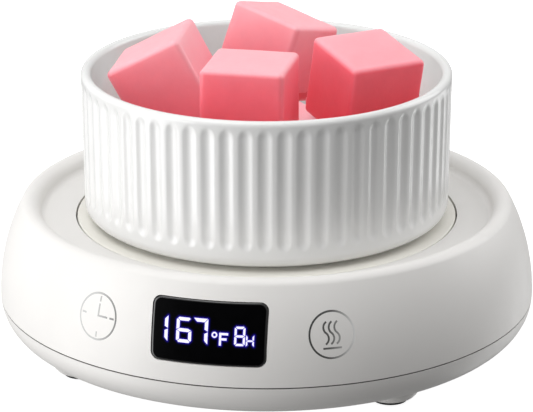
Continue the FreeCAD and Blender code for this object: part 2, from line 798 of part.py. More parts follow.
save("upper_housing", upper_housing([timer_icon, heat_icon]))
save("lower_housing", lower_housing())
save("foot_pads", foot_pads())
save("housing_screws", housing_screws())
save("heating_plate", heating_plate())
save("plate_gasket", plate_gasket())
save("heater_film", heater_film())
save("insulation_pad", insulation_pad())
save("heater_carrier", heater_carrier())
save("carrier_screws", carrier_screws())
save("temperature_sensor", temperature_sensor())
save("sensor_clip", sensor_clip())
save("thermal_fuse", thermal_fuse())
save("display_window", display_window())
save("display_digits", display_digits())
save("display_frame", display_frame())
save("led_module", led_module())
save("display_board", display_board())
save("display_board_screws", display_board_screws())
save("touch_pads", touch_pads())
save("timer_icon", timer_icon)
save("heat_icon", heat_icon)
save("main_board", main_board())
save("main_board_screws", main_board_screws())
save("dc_jack", dc_jack())
save("jack_pin", jack_pin())
save("controller_chip", controller_chip())
save("filter_capacitors", filter_capacitors())
save("power_inductor", power_inductor())
save("power_transistor", power_transistor())
save("buzzer", buzzer())
save("lead_connectors", lead_connectors())
save("display_leads", display_leads())
save("heater_leads", heater_leads())
save("sensor_leads", sensor_leads())
save("wax_dish", wax_dish())
save("wax_cubes_lower", wax_cubes_lower())
for node, (centre, turn, tip_x, tip_y) in UPPER_CUBES.items():
    save(node, cube(vec(*centre), turn, tip_x, tip_y))
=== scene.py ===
import math

import bmesh
import bpy
import numpy as np
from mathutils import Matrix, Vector, kdtree, noise


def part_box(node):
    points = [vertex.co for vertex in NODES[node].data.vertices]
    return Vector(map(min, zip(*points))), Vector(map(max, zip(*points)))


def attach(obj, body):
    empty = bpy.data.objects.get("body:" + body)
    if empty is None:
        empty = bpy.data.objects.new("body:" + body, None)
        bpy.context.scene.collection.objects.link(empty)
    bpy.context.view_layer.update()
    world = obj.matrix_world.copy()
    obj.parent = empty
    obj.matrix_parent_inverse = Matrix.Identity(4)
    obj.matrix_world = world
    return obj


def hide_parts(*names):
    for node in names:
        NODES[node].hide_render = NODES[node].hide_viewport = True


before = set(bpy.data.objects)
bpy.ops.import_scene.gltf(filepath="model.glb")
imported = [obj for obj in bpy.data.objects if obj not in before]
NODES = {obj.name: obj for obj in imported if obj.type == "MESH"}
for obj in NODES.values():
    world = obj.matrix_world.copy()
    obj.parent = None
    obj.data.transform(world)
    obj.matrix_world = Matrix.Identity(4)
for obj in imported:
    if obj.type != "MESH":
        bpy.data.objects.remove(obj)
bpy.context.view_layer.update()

# A plate-type wax warmer. The shells, plate, feet and inner parts are the CAD nodes with new
# finishes. The fluted dish, the wax cubes and the display window are finer meshes built here.
# Metres, in the frame's axes.

MM = 0.001

# --- camera, from the front and a little to the right ---
CAMERA_AZIMUTH = 11.9
CAMERA_DISTANCE = 0.7241          # from the axis, along the floor
CAMERA_HEIGHT = 0.2915
CAMERA_PITCH = 19.38
CAMERA_LENS = 184.63

# --- bulging side of the base ---
BELLY_Z = 13.5 * MM
SEAM_MID = 13.17 * MM             # middle of the open joint between the shells
SIDE_R = 54.0 * MM
SIDE_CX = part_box("upper_housing")[1].x - SIDE_R

# --- display window ---
WINDOW_CORNER = 2.2 * MM
WINDOW_EDGE = 0.42 * MM           # rounded front edge
WINDOW_T = 1.6 * MM
WINDOW_SINK = 0.05 * MM           # the lit digits stand this far out of the window
WINDOW_RINGS = 80                 # mesh rings across the face
GLOW_REACH = 0.34 * MM
GLOW_STEP = 0.12 * MM             # spacing of the points that stand for the lit edges

# --- dish ---
DISH_WALL = 2.8 * MM
DISH_DRAFT = 0.4 * MM             # the rim is this much wider than the foot of the wall
DISH_EDGE = 3.2 * MM
DISH_INNER_FILLET = 3.0 * MM
DISH_LIFT = 1.1 * MM              # underside above the foot ring's lower face
DISH_RECESS = 2.0 * MM
DISH_FLOOR = 4.4 * MM
RING_R0, RING_R1 = 43.5 * MM, 46.0 * MM
RING_ROUND = 0.5 * MM
FLUTES = 63
FLUTE_R = 2.2 * MM
FLUTE_DEPTH = 0.6 * MM
FLUTE_START = 8.8 * MM            # round ends, measured from the bottom and from the rim
FLUTE_END = 4.8 * MM
FLUTE_FADE = 1.4                  # the round ends are this much longer than wide
FLUTE_SOFT = 0.30 * MM            # how far the glaze rounds a flute's edges
COLUMNS = 18                      # mesh columns for one flute

# --- wax cubes ---
CUBE_EDGE = 1.5 * MM
CUBE_STEPS = 14
CUBE_WAVE = 0.12 * MM
WAVE_LENGTH = 7 * MM
LOWER_LIGHT_LEVEL = 0.1                  # painted light and shade: how pale the darkest part of the lower cubes' wax is
# painted light and shade: how pale each loose cube's darkest part is, higher for a cube that lies in the
# light and lower for one in shade
CUBE_LIGHT_LEVELS = {"front": 0.06, "left": 0.27, "back": 0.23, "right": -0.06}
EDGE_HIGHLIGHT_REACH = 0.9 * MM              # how far the painted highlight along an edge reaches into a face


# ---------------------------------------------------------------- node graphs

class Graph:
    """A material's node tree, with short ways to add and join nodes."""

    def __init__(self, name):
        self.material = bpy.data.materials.new(name)
        self.material.use_nodes = True
        self.tree = self.material.node_tree
        self.shader = self.tree.nodes["Principled BSDF"]
        self.place = self.add("ShaderNodeTexCoord").outputs["Object"]

    def add(self, kind, **settings):
        node = self.tree.nodes.new(kind)
        for key, value in settings.items():
            setattr(node, key, value)
        return node

    def join(self, output, socket):
        self.tree.links.new(output, socket)

    def set(self, **values):
        """Sets the shader's own sockets; base_colour stands for Base Color."""
        for key, value in values.items():
            self.shader.inputs[key.replace("_", " ").title().replace("Ior", "IOR")].default_value = value

    def noise(self, scale, detail=3.0, roughness=0.5, stretch=None):
        """Noise over the object's own coordinates; scale is in features per metre."""
        texture = self.add("ShaderNodeTexNoise")
        texture.inputs["Scale"].default_value = scale
        texture.inputs["Detail"].default_value = detail
        texture.inputs["Roughness"].default_value = roughness
        where = self.place
        if stretch:
            mapping = self.add("ShaderNodeMapping")
            mapping.inputs["Scale"].default_value = stretch
            self.join(where, mapping.inputs["Vector"])
            where = mapping.outputs["Vector"]
        self.join(where, texture.inputs["Vector"])
        return texture.outputs["Fac"]

    def ramp(self, factor, *stops):
        """Colour ramp with (position, colour) stops."""
        node = self.add("ShaderNodeValToRGB")
        elements = node.color_ramp.elements
        while len(elements) < len(stops):
            elements.new(0.5)
        for element, (position, colour) in zip(elements, stops):
            element.position = position
            element.color = (*colour, 1.0)
        self.join(factor, node.inputs["Fac"])
        return node.outputs["Color"]

    def span(self, factor, low, high, start=0.3, end=0.7):
        """Maps a factor from start..end to low..high."""
        node = self.add("ShaderNodeMapRange")
        for key, value in (("From Min", start), ("From Max", end), ("To Min", low), ("To Max", high)):
            node.inputs[key].default_value = value
        self.join(factor, node.inputs["Value"])
        return node.outputs["Result"]

    def bump(self, height, depth, strength=1.0):
        """Bump that a height factor from 0 to 1 makes over the given depth in metres."""
        node = self.add("ShaderNodeBump")
        node.inputs["Strength"].default_value = strength
        node.inputs["Distance"].default_value = depth
        self.join(height, node.inputs["Height"])
        self.join(node.outputs["Normal"], self.shader.inputs["Normal"])


def drifting(name, tone, other, rough, scale=90, grain=2500, depth=0.01 * MM, **sockets):
    """Finish whose colour drifts between two tones, with a fine grain in its surface."""
    g = Graph(name)
    g.set(**sockets)
    drift = g.noise(scale, 4.0, 0.6)
    g.join(g.ramp(drift, (0.3, tone), (0.7, other)), g.shader.inputs["Base Color"])
    texture = g.noise(grain, 2.0)
    g.join(g.span(g.noise(scale * 6, 3.0), rough - 0.04, rough + 0.04), g.shader.inputs["Roughness"])
    g.bump(texture, depth)
    return g.material


def brushed(name, tone, other, rough, stretch=(1.0, 1.0, 0.04), **sockets):
    """Metal with fine lines drawn along the axis that stretch makes short."""
    g = Graph(name)
    g.set(metallic=1.0, **sockets)
    lines = g.noise(9000, 2.0, 0.6, stretch)
    g.join(g.ramp(lines, (0.35, tone), (0.65, other)), g.shader.inputs["Base Color"])
    g.join(g.span(lines, rough - 0.06, rough + 0.06), g.shader.inputs["Roughness"])
    g.bump(lines, 0.004 * MM)
    return g.material


# ---------------------------------------------------------------- finishes

def housing_finish():
    """Warm white satin ABS with the faint texture of a polished mould, with painted shade dark inside the
    shells' joint.
    """
    g = Graph("housing_plastic")
    split = g.add("ShaderNodeSeparateXYZ")
    g.join(g.place, split.inputs["Vector"])
    off = g.add("ShaderNodeMath", operation="SUBTRACT")
    g.join(split.outputs["Z"], off.inputs[0])
    off.inputs[1].default_value = SEAM_MID
    away = g.add("ShaderNodeMath", operation="ABSOLUTE")
    g.join(off.outputs["Value"], away.inputs[0])
    tone = g.ramp(g.noise(35, 4.0, 0.6), (0.3, (0.80, 0.785, 0.765)), (0.7, (0.775, 0.76, 0.74)))
    # painted shade: the base colour turns near black in a thin band about the seam's middle, where the
    # joint lies in shadow
    joint_shade = g.ramp(g.span(away.outputs["Value"], 0.0, 1.0, 0.12 * MM, 0.22 * MM),
                   (0.0, (0.07, 0.065, 0.06)), (1.0, (1.0, 1.0, 1.0)))
    mix = g.add("ShaderNodeMix", data_type="RGBA", blend_type="MULTIPLY")
    mix.inputs["Factor"].default_value = 1.0
    g.join(tone, mix.inputs["A"])
    g.join(joint_shade, mix.inputs["B"])
    g.join(mix.outputs["Result"], g.shader.inputs["Base Color"])
    g.join(g.span(g.noise(210, 3.0), 0.38, 0.46), g.shader.inputs["Roughness"])
    g.bump(g.noise(3200, 2.0), 0.003 * MM)
    return g.material


def plate_finish():
    """Cream enamel over the aluminium plate."""
    return drifting("plate_enamel", (0.86, 0.845, 0.785), (0.83, 0.81, 0.75), 0.40,
                    scale=60, grain=2600, depth=0.006 * MM)


def rubber_finish():
    return drifting("foot_rubber", (0.006, 0.006, 0.0065), (0.012, 0.012, 0.013), 0.72,
                    scale=400, grain=5000, depth=0.02 * MM, specular_ior_level=0.2)


def dish_finish():
    """White stoneware under a clear glossy glaze that pools a little in its surface."""
    g = Graph("dish_glaze")
    g.set(roughness=0.26, coat_weight=0.45, coat_roughness=0.1)
    drift = g.noise(45, 4.0, 0.55)
    g.join(g.ramp(drift, (0.3, (0.83, 0.83, 0.825)), (0.7, (0.80, 0.80, 0.79))),
           g.shader.inputs["Base Color"])
    g.bump(g.noise(160, 2.0), 0.03 * MM)
    return g.material


def wax_finish():
    """Soft pink wax: light shows through it; painted light makes its edges and top paler and painted
    shade makes its lower sides darker.
    """
    g = Graph("pink_wax")
    g.set(roughness=0.38, subsurface_scale=0.006, subsurface_radius=(1.0, 0.30, 0.30))
    g.shader.inputs["Subsurface Weight"].default_value = 0.35
    # painted glow: a faint emission stands in for the light that scatters through a whole cube and lifts
    # its shaded faces
    g.shader.inputs["Emission Color"].default_value = (1.0, 0.12, 0.16, 1)
    g.shader.inputs["Emission Strength"].default_value = 0.08
    pale = g.add("ShaderNodeAttribute", attribute_name="pale").outputs["Fac"]
    # painted light and shade: the 'pale' share runs from deep red where painted shade falls low on a cube
    # to pale pink under painted light on its top and edges
    colour = g.ramp(pale, (0.0, (0.76, 0.013, 0.03)), (0.35, (0.92, 0.13, 0.175)),
                    (0.7, (0.95, 0.31, 0.36)), (1.0, (0.97, 0.48, 0.53)))
    cloud = g.noise(180, 5.0, 0.6)
    mix = g.add("ShaderNodeMix", data_type="RGBA", blend_type="MULTIPLY")
    mix.inputs["Factor"].default_value = 1.0
    g.join(colour, mix.inputs["A"])
    g.join(g.ramp(cloud, (0.25, (0.93, 0.90, 0.91)), (0.75, (1.0, 1.0, 1.0))), mix.inputs["B"])
    g.join(mix.outputs["Result"], g.shader.inputs["Base Color"])
    g.bump(g.noise(900, 4.0, 0.6), 0.05 * MM)
    return g.material


def window_finish():
    """Smoked acrylic with a matt face and a polished edge; the lit digits glow through it."""
    g = Graph("smoked_window")
    smoke = g.noise(300, 3.0)
    g.join(g.ramp(smoke, (0.3, (0.0006, 0.0006, 0.0008)), (0.7, (0.0012, 0.0012, 0.0016))),
           g.shader.inputs["Base Color"])
    polish = g.add("ShaderNodeAttribute", attribute_name="polish").outputs["Fac"]
    g.join(g.span(polish, 0.02, 0.9, 0.0, 1.0), g.shader.inputs["Specular IOR Level"])
    g.join(g.span(polish, 0.34, 0.16, 0.0, 1.0), g.shader.inputs["Roughness"])
    glow = g.add("ShaderNodeAttribute", attribute_name="glow").outputs["Fac"]
    halo = g.ramp(glow, (0.0, (0.0, 0.0, 0.0)), (0.45, (0.004, 0.002, 0.09)), (1.0, (0.03, 0.015, 0.45)))
    g.join(halo, g.shader.inputs["Emission Color"])
    g.shader.inputs["Emission Strength"].default_value = 1.0
    return g.material


def digit_finish():
    """Light guides over blue-white LEDs, a little uneven from end to end."""
    g = Graph("lit_digits")
    g.set(roughness=0.4)
    g.join(g.ramp(g.noise(900, 2.0), (0.3, (0.80, 0.77, 1.0)), (0.7, (0.92, 0.89, 1.0))),
           g.shader.inputs["Emission Color"])
    g.join(g.ramp(g.noise(700, 2.0), (0.3, (0.20, 0.20, 0.26)), (0.7, (0.26, 0.26, 0.32))),
           g.shader.inputs["Base Color"])
    g.shader.inputs["Emission Strength"].default_value = 0.95
    return g.material


def foil_finish():
    """Silver foil pressed into the wall; a painted reflection sweeps its tone from dark to light across a
    key.
    """
    g = Graph("silver_foil")
    g.set(metallic=0.4)
    split = g.add("ShaderNodeSeparateXYZ")
    g.join(g.place, split.inputs["Vector"])
    # painted reflection: the base colour runs light to dark across the clock key and dark to light across
    # the heat key, as the foil's mirror of the room would
    heat_key_reflection = g.span(split.outputs["X"], 0.5, 1.0, 0.0256, 0.0369)
    other = g.span(split.outputs["X"], -0.5, 0.0, -0.0369, -0.0256)
    painted_key_reflection = g.add("ShaderNodeMath", operation="ADD", use_clamp=True)
    g.join(heat_key_reflection, painted_key_reflection.inputs[0])
    g.join(other, painted_key_reflection.inputs[1])
    tone = g.ramp(painted_key_reflection.outputs["Value"], (0.0, (0.42, 0.42, 0.42)), (0.25, (0.34, 0.34, 0.335)),
                  (0.5, (0.11, 0.11, 0.11)), (0.501, (0.07, 0.07, 0.07)), (0.72, (0.13, 0.13, 0.125)),
                  (0.86, (0.50, 0.50, 0.49)), (1.0, (0.98, 0.98, 0.97)))
    g.join(tone, g.shader.inputs["Base Color"])
    lines = g.noise(6000, 2.0, 0.6, (1.0, 1.0, 0.1))
    g.join(g.span(lines, 0.30, 0.42), g.shader.inputs["Roughness"])
    g.bump(lines, 0.003 * MM)
    return g.material


def felt_finish():
    """White ceramic-fibre felt: short fibres lying every way."""
    g = Graph("fibre_felt")
    g.set(roughness=0.95, sheen_weight=0.4)
    long_ways = g.noise(2600, 4.0, 0.7, (1.0, 0.15, 1.0))
    cross_ways = g.noise(2600, 4.0, 0.7, (0.15, 1.0, 1.0))
    mix = g.add("ShaderNodeMix", data_type="FLOAT")
    mix.inputs["Factor"].default_value = 0.5
    g.join(long_ways, mix.inputs["A"])
    g.join(cross_ways, mix.inputs["B"])
    fibres = mix.outputs["Result"]
    g.join(g.ramp(fibres, (0.35, (0.60, 0.59, 0.55)), (0.6, (0.82, 0.81, 0.78))),
           g.shader.inputs["Base Color"])
    g.bump(fibres, 0.15 * MM)
    return g.material


def heater_finish():
    """Amber polyimide film over the etched rings of the heating track."""
    g = Graph("heater_film")
    g.set(roughness=0.3, coat_weight=0.5)
    rings = g.add("ShaderNodeTexWave", wave_type="RINGS", rings_direction="Z")
    rings.inputs["Scale"].default_value = 75.0
    rings.inputs["Distortion"].default_value = 0.3
    g.join(g.place, rings.inputs["Vector"])
    g.join(g.ramp(rings.outputs["Fac"], (0.42, (0.42, 0.16, 0.02)), (0.5, (0.30, 0.20, 0.12))),
           g.shader.inputs["Base Color"])
    g.bump(rings.outputs["Fac"], 0.03 * MM)
    return g.material


def board_finish():
    """Green solder mask with the copper tracks showing paler through it."""
    g = Graph("circuit_board")
    g.set(roughness=0.38, coat_weight=0.3)
    tracks = g.add("ShaderNodeTexBrick")
    tracks.inputs["Scale"].default_value = 260.0
    tracks.inputs["Mortar Size"].default_value = 0.06
    tracks.inputs["Color1"].default_value = (0.012, 0.10, 0.035, 1)
    tracks.inputs["Color2"].default_value = (0.010, 0.085, 0.03, 1)
    tracks.inputs["Mortar"].default_value = (0.035, 0.20, 0.07, 1)
    g.join(g.place, tracks.inputs["Vector"])
    g.join(tracks.outputs["Color"], g.shader.inputs["Base Color"])
    g.bump(tracks.outputs["Fac"], 0.03 * MM)
    return g.material


def sleeve(name, tone, other):
    """Soft insulation of a lead."""
    return drifting(name, tone, other, 0.45, scale=500, grain=3000, depth=0.01 * MM)


def slot_finishes():
    """New material for each material slot of the record."""
    grey = (0.55, 0.56, 0.57)
    return {
        "housing": housing_finish(),
        "feet": rubber_finish(),
        "steel": brushed("zinc_steel", grey, (0.72, 0.72, 0.70), 0.34),
        "plate": plate_finish(),
        "silicone": drifting("silicone", (0.10, 0.10, 0.105), (0.14, 0.14, 0.145), 0.6),
        "heater": heater_finish(),
        "felt": felt_finish(),
        "carrier": drifting("carrier_plastic", (0.30, 0.27, 0.22), (0.24, 0.215, 0.175), 0.55,
                            grain=1800, depth=0.03 * MM),
        "sensor": drifting("sensor_epoxy", (0.05, 0.03, 0.02), (0.09, 0.05, 0.03), 0.25),
        "fuse": brushed("fuse_case", (0.62, 0.60, 0.55), (0.75, 0.73, 0.68), 0.3, (0.04, 1.0, 1.0)),
        "window": window_finish(),
        "digits": digit_finish(),
        "black_plastic": drifting("black_plastic", (0.016, 0.016, 0.017), (0.026, 0.026, 0.028), 0.45,
                                  grain=1800, depth=0.03 * MM),
        "board": board_finish(),
        "foam": drifting("conductive_foam", (0.05, 0.05, 0.052), (0.09, 0.09, 0.092), 0.9,
                         scale=700, grain=1500, depth=0.2 * MM),
        "foil": foil_finish(),
        "contact": brushed("contact_pin", (0.70, 0.62, 0.42), (0.82, 0.76, 0.58), 0.2, (1.0, 0.04, 1.0)),
        "chip": drifting("chip_epoxy", (0.018, 0.018, 0.019), (0.03, 0.03, 0.031), 0.6, grain=2600,
                         depth=0.02 * MM),
        "capacitor": brushed("capacitor_can", (0.05, 0.055, 0.11), (0.09, 0.10, 0.18), 0.35),
        "connector": drifting("connector_nylon", (0.68, 0.66, 0.58), (0.74, 0.72, 0.65), 0.5),
        "grey_wire": sleeve("grey_sleeve", (0.24, 0.24, 0.25), (0.32, 0.32, 0.33)),
        "red_wire": sleeve("red_sleeve", (0.42, 0.015, 0.012), (0.52, 0.025, 0.02)),
        "white_wire": sleeve("white_sleeve", (0.72, 0.72, 0.70), (0.8, 0.8, 0.78)),
        "dish": dish_finish(),
        "wax": wax_finish(),
    }


FINISH = slot_finishes()


def finish_nodes():
    """Gives every CAD node the finish of its own material slot."""
    for node in NODES.values():
        for place in node.material_slots:
            place.material = FINISH[place.material.name.split(".")[0]]


def smooth_side():
    """Gives the bulging side of the upper shell its exact surface normals. No vertex moves."""
    mesh = NODES["upper_housing"].data
    normals = [corner.vector.copy() for corner in mesh.corner_normals]
    for face in mesh.polygons:
        for corner in face.loop_indices:
            place = mesh.vertices[mesh.loops[corner].vertex_index].co
            out = Vector((place.x, place.y, 0)).normalized()
            bulge = place - out * SIDE_CX - Vector((0, 0, BELLY_Z))
            if abs(bulge.length - SIDE_R) < 0.02 * MM and face.normal.dot(bulge.normalized()) > 0.9:
                normals[corner] = bulge.normalized()
    mesh.normals_split_custom_set(normals)


# ---------------------------------------------------------------- meshes

def loft(rings, start_cap=False, end_cap=False):
    """Vertices and faces over closed rings of equally many points; a cap is a fan about its centre."""
    count = len(rings[0])
    points = np.concatenate(rings)
    around = np.arange(count)
    after = (around + 1) % count
    faces = []
    for k in range(len(rings) - 1):
        a = k * count
        b = a + count
        faces.extend(zip(a + around, a + after, b + after, b + around))
    if start_cap:
        centre = len(points)
        points = np.vstack([points, rings[0].mean(0)])
        faces.extend(zip(after, around, np.full(count, centre)))
    if end_cap:
        centre = len(points)
        last = (len(rings) - 1) * count
        points = np.vstack([points, rings[-1].mean(0)])
        faces.extend(zip(last + around, last + after, np.full(count, centre)))
    return points, [tuple(int(i) for i in face) for face in faces]


def piece(name, points, faces, slot, body, *nodes):
    """Smooth mesh piece that rides on a body and stands for the given CAD nodes."""
    mesh = bpy.data.meshes.new(name)
    mesh.from_pydata([tuple(p) for p in points], [], faces)
    mesh.materials.append(FINISH[slot])
    mesh.shade_smooth()
    mesh.update()
    obj = bpy.data.objects.new(name, mesh)
    bpy.context.scene.collection.objects.link(obj)
    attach(obj, body)
    if nodes:
        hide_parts(*nodes)
    return obj


def paint(obj, name, values):
    """Stores one number for each vertex under an attribute name."""
    layer = obj.data.attributes.new(name, "FLOAT", "POINT")
    layer.data.foreach_set("value", np.asarray(values, np.float32))


def arc_points(cx, cz, radius, start, end, steps):
    """(r, z) points on an arc, with angles in degrees."""
    angles = np.radians(np.linspace(start, end, steps + 1))
    return [(cx + radius * math.cos(a), cz + radius * math.sin(a)) for a in angles]


# ---------------------------------------------------------------- dish

def smooth_minimum(a, b, soft):
    low = np.minimum(a, b)
    return low - soft * np.log(np.exp((low - a) / soft) + np.exp((low - b) / soft))


def fluted(radius, z, angles, low, high):
    """Radius of the fluted wall at each angle, where the plain wall has the given radius."""
    past = max(low - z, z - high, 0.0) / FLUTE_FADE
    room = FLUTE_R ** 2 - past ** 2
    if room <= 0:
        return np.full(len(angles), radius)
    pitch = math.tau / FLUTES
    off = (angles + pitch / 2) % pitch - pitch / 2
    axis = radius + FLUTE_R - FLUTE_DEPTH
    side = axis * np.sin(off)
    within = np.clip(room - side ** 2, 0, None)
    cut = np.where(room > side ** 2, axis * np.cos(off) - np.sqrt(within), 2 * radius)
    return smooth_minimum(cut, np.full(len(angles), radius), FLUTE_SOFT)


def dish():
    lowest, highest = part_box("wax_dish")
    z0, z1, rim = lowest.z, highest.z, highest.x
    foot = rim - DISH_DRAFT
    under = z0 + DISH_LIFT
    recess = z0 + DISH_RECESS
    floor = z0 + DISH_FLOOR
    lip = DISH_WALL / 2
    edge_z = under + DISH_EDGE
    low, high = z0 + FLUTE_START, z1 - FLUTE_END
    fade = FLUTE_FADE * FLUTE_R

    def wall(z):
        return foot + DISH_DRAFT * (z - edge_z) / (z1 - edge_z)

    bottom = [(2 * MM, recess), (RING_R0 - 1 * MM, recess)]
    bottom += arc_points(RING_R0 + RING_ROUND, z0 + RING_ROUND, RING_ROUND, 180, 270, 4)
    bottom += arc_points(RING_R1 - RING_ROUND, z0 + RING_ROUND, RING_ROUND, 270, 360, 4)
    bottom += [(RING_R1 + 0.3 * MM, under)]
    bottom += arc_points(foot - DISH_EDGE, edge_z, DISH_EDGE, -90, 0, 8)
    rows = np.concatenate([
        [edge_z + 0.6 * MM],
        np.linspace(low - fade, low + 0.3 * MM, 14),
        np.linspace(low + 2 * MM, high - 2 * MM, 7),
        np.linspace(high - 0.3 * MM, high + fade, 14),
    ])
    inner = foot - DISH_WALL
    top = arc_points(rim - lip, z1 - lip, lip, 0, 180, 14)
    top += [(inner + DISH_DRAFT * share, z) for share, z in
            ((0.7, z1 - 12 * MM), (0.35, z1 - 24 * MM))]
    top += arc_points(inner - DISH_INNER_FILLET, floor + DISH_INNER_FILLET, DISH_INNER_FILLET, 0, -90, 8)
    top += [(30 * MM, floor), (2 * MM, floor)]

    angles = np.arange(FLUTES * COLUMNS) * math.tau / (FLUTES * COLUMNS)

    def ring(radius, z):
        radius = np.broadcast_to(radius, angles.shape)
        # the first flute is centred on the front
        return np.stack([radius * np.sin(angles), -radius * np.cos(angles), np.full(len(angles), z)], 1)

    rings = [ring(r, z) for r, z in bottom]
    rings += [ring(fluted(wall(z), z, angles, low, high), z) for z in rows]
    rings += [ring(r, z) for r, z in top]
    points, faces = loft(rings, True, True)
    return piece("fluted_dish", points, faces, "dish", "dish", "wax_dish")


# ---------------------------------------------------------------- wax cubes

def islands(node):
    """Separate solids of a CAD node, each as its corners and its faces' normals and areas."""
    mesh = bmesh.new()
    mesh.from_mesh(NODES[node].data)
    bmesh.ops.remove_doubles(mesh, verts=mesh.verts, dist=0.001 * MM)
    mesh.verts.index_update()
    mesh.faces.index_update()
    seen = set()
    found = []
    for first in mesh.verts:
        if first.index in seen:
            continue
        seen.add(first.index)
        stack = [first]
        faces = {}
        corners = []
        while stack:
            vert = stack.pop()
            corners.append(vert.co.copy())
            faces.update((face.index, face) for face in vert.link_faces)
            for edge in vert.link_edges:
                other = edge.other_vert(vert)
                if other.index not in seen:
                    seen.add(other.index)
                    stack.append(other)
        # in index order, so that every run picks the same faces
        ordered = [faces[i] for i in sorted(faces)]
        found.append((np.array(corners), [(face.normal.copy(), face.calc_area()) for face in ordered]))
    mesh.free()
    return found


def cube_frames(node):
    """Centre, axes and half size of each cube in a CAD node, read from its largest faces."""
    frames = []
    for corners, faces in islands(node):
        axes = []
        for normal, _ in sorted(faces, key=lambda f: -f[1]):
            if all(abs(normal.dot(axis)) < 0.5 for axis in axes):
                axes.append(normal)
            if len(axes) == 3:
                break
        axes.sort(key=lambda a: abs(a.z))
        across, along, up = axes
        up = up if up.z > 0 else -up
        along = along.normalized()
        across = along.cross(up).normalized()
        turn = np.array([across, along, up])
        local = corners @ turn.T
        centre = (local.min(0) + local.max(0)) / 2 @ turn
        half = (local.max(0) - local.min(0)).min() / 2
        frames.append((centre, turn, half))
    return sorted(frames, key=lambda f: (round(f[0][0], 4), round(f[0][1], 4)))


def cube_shape(half):
    """Rounded cube about the origin: points, faces and each point's depth inside its face."""
    inner = half - CUBE_EDGE
    flat = np.linspace(-1, 1, CUBE_STEPS + 1) * inner
    bends = np.linspace(0, 45, 5)[1:]
    reach = inner + CUBE_EDGE * np.tan(np.radians(bends))
    steps = np.concatenate([-reach[::-1], flat, reach])
    size = len(steps)
    points = []
    faces = []
    index = {}
    for axis in range(3):
        for sign in (-1, 1):
            grid = np.zeros((size, size), int)
            for i, u in enumerate(steps):
                for j, v in enumerate(steps):
                    p = np.zeros(3)
                    p[axis] = sign * half
                    p[(axis + 1) % 3] = u
                    p[(axis + 2) % 3] = v
                    key = tuple(np.round(p / MM, 4))
                    if key not in index:
                        index[key] = len(points)
                        points.append(p)
                    grid[i, j] = index[key]
            for i in range(size - 1):
                for j in range(size - 1):
                    face = (grid[i, j], grid[i + 1, j], grid[i + 1, j + 1], grid[i, j + 1])
                    faces.append(tuple(int(k) for k in (face if sign > 0 else face[::-1])))
    points = np.array(points)
    core = np.clip(points, -inner, inner)
    out = points - core
    out /= np.linalg.norm(out, axis=1)[:, None]
    return core + CUBE_EDGE * out, out, faces


def painted_light_share(points, normals, half, up, tone):
    """How pale the wax is painted: painted light gives 1 on a top face and more along the edges as a
    highlight, painted shade gives less down a side.
    """
    inset = np.sort(half - np.abs(points), axis=1)[:, 1]
    # painted highlight along the edges
    edge = np.exp(-inset / EDGE_HIGHLIGHT_REACH)
    # painted light on the faces turned up
    top = np.clip(normals @ up, 0, 1) ** 1.5
    # painted shade towards the bottom of each cube
    height = (points @ up / half + 1) / 2
    return np.clip(tone + 0.42 * height ** 1.2 + 0.52 * top + 0.25 * edge * (0.4 + 0.6 * height), 0, 1)


def wax_cubes(name, node, body, seed, tone):
    """One piece with every cube of a CAD node; the tone, a painted light and shade level, is how pale its
    darkest part is.
    """
    all_points = []
    all_faces = []
    shares = []
    count = 0
    for k, (centre, turn, half) in enumerate(cube_frames(node)):
        local, out, faces = cube_shape(half - CUBE_WAVE)
        world_up = turn @ np.array([0.0, 0.0, 1.0])
        shares.append(painted_light_share(local, out, half, world_up, tone))
        shift = Vector((seed * 7.3 + k * 3.1, 0, 0))
        wave = np.array([noise.noise(Vector(p) / WAVE_LENGTH + shift) for p in local])
        local = local + out * (wave * CUBE_WAVE)[:, None]
        all_points.append(local @ turn + centre)
        all_faces.extend(tuple(i + count for i in face) for face in faces)
        count += len(local)
    obj = piece(name, np.concatenate(all_points), all_faces, "wax", body, node)
    # the wax throws no pink light on the white bowl around it
    obj.visible_diffuse = False
    # painted light and shade for each point, read by the wax finish
    paint(obj, "pale", np.concatenate(shares))
    return obj


# ---------------------------------------------------------------- display window

def on_side(x, z, depth=0.0):
    """Point that lies a depth inside the base's bulging side, seen square from the front."""
    radius = SIDE_CX + np.sqrt((SIDE_R - depth) ** 2 - (z - BELLY_Z) ** 2)
    return np.stack([x, -np.sqrt(radius ** 2 - x ** 2), z], -1)


def rounded_outline(half_w, half_h, corner, side_steps, corner_steps):
    """Points around a rounded rectangle about the origin, anticlockwise."""
    points = []
    inner_w, inner_h = half_w - corner, half_h - corner
    centres = ((inner_w, -inner_h, -90), (inner_w, inner_h, 0),
               (-inner_w, inner_h, 90), (-inner_w, -inner_h, 180))
    for k, (cx, cz, start) in enumerate(centres):
        points += arc_points(cx, cz, corner, start, start + 90, corner_steps)
        nx, nz, after = centres[(k + 1) % 4]
        begin = np.array(points[-1])
        turn = math.radians(after)
        end = np.array([nx + corner * math.cos(turn), nz + corner * math.sin(turn)])
        points += [tuple(begin + (end - begin) * s) for s in np.linspace(0, 1, side_steps + 1)[1:-1]]
    return np.array(points)


def digit_edges():
    """Points along every edge of the lit digits' front faces, close together."""
    mesh = NODES["display_digits"].data
    dots = []
    for edge in mesh.edges:
        a, b = (mesh.vertices[i].co for i in edge.vertices)
        steps = max(1, round((b - a).length / GLOW_STEP))
        dots += [a.lerp(b, s / steps) for s in range(steps + 1)]
    return dots


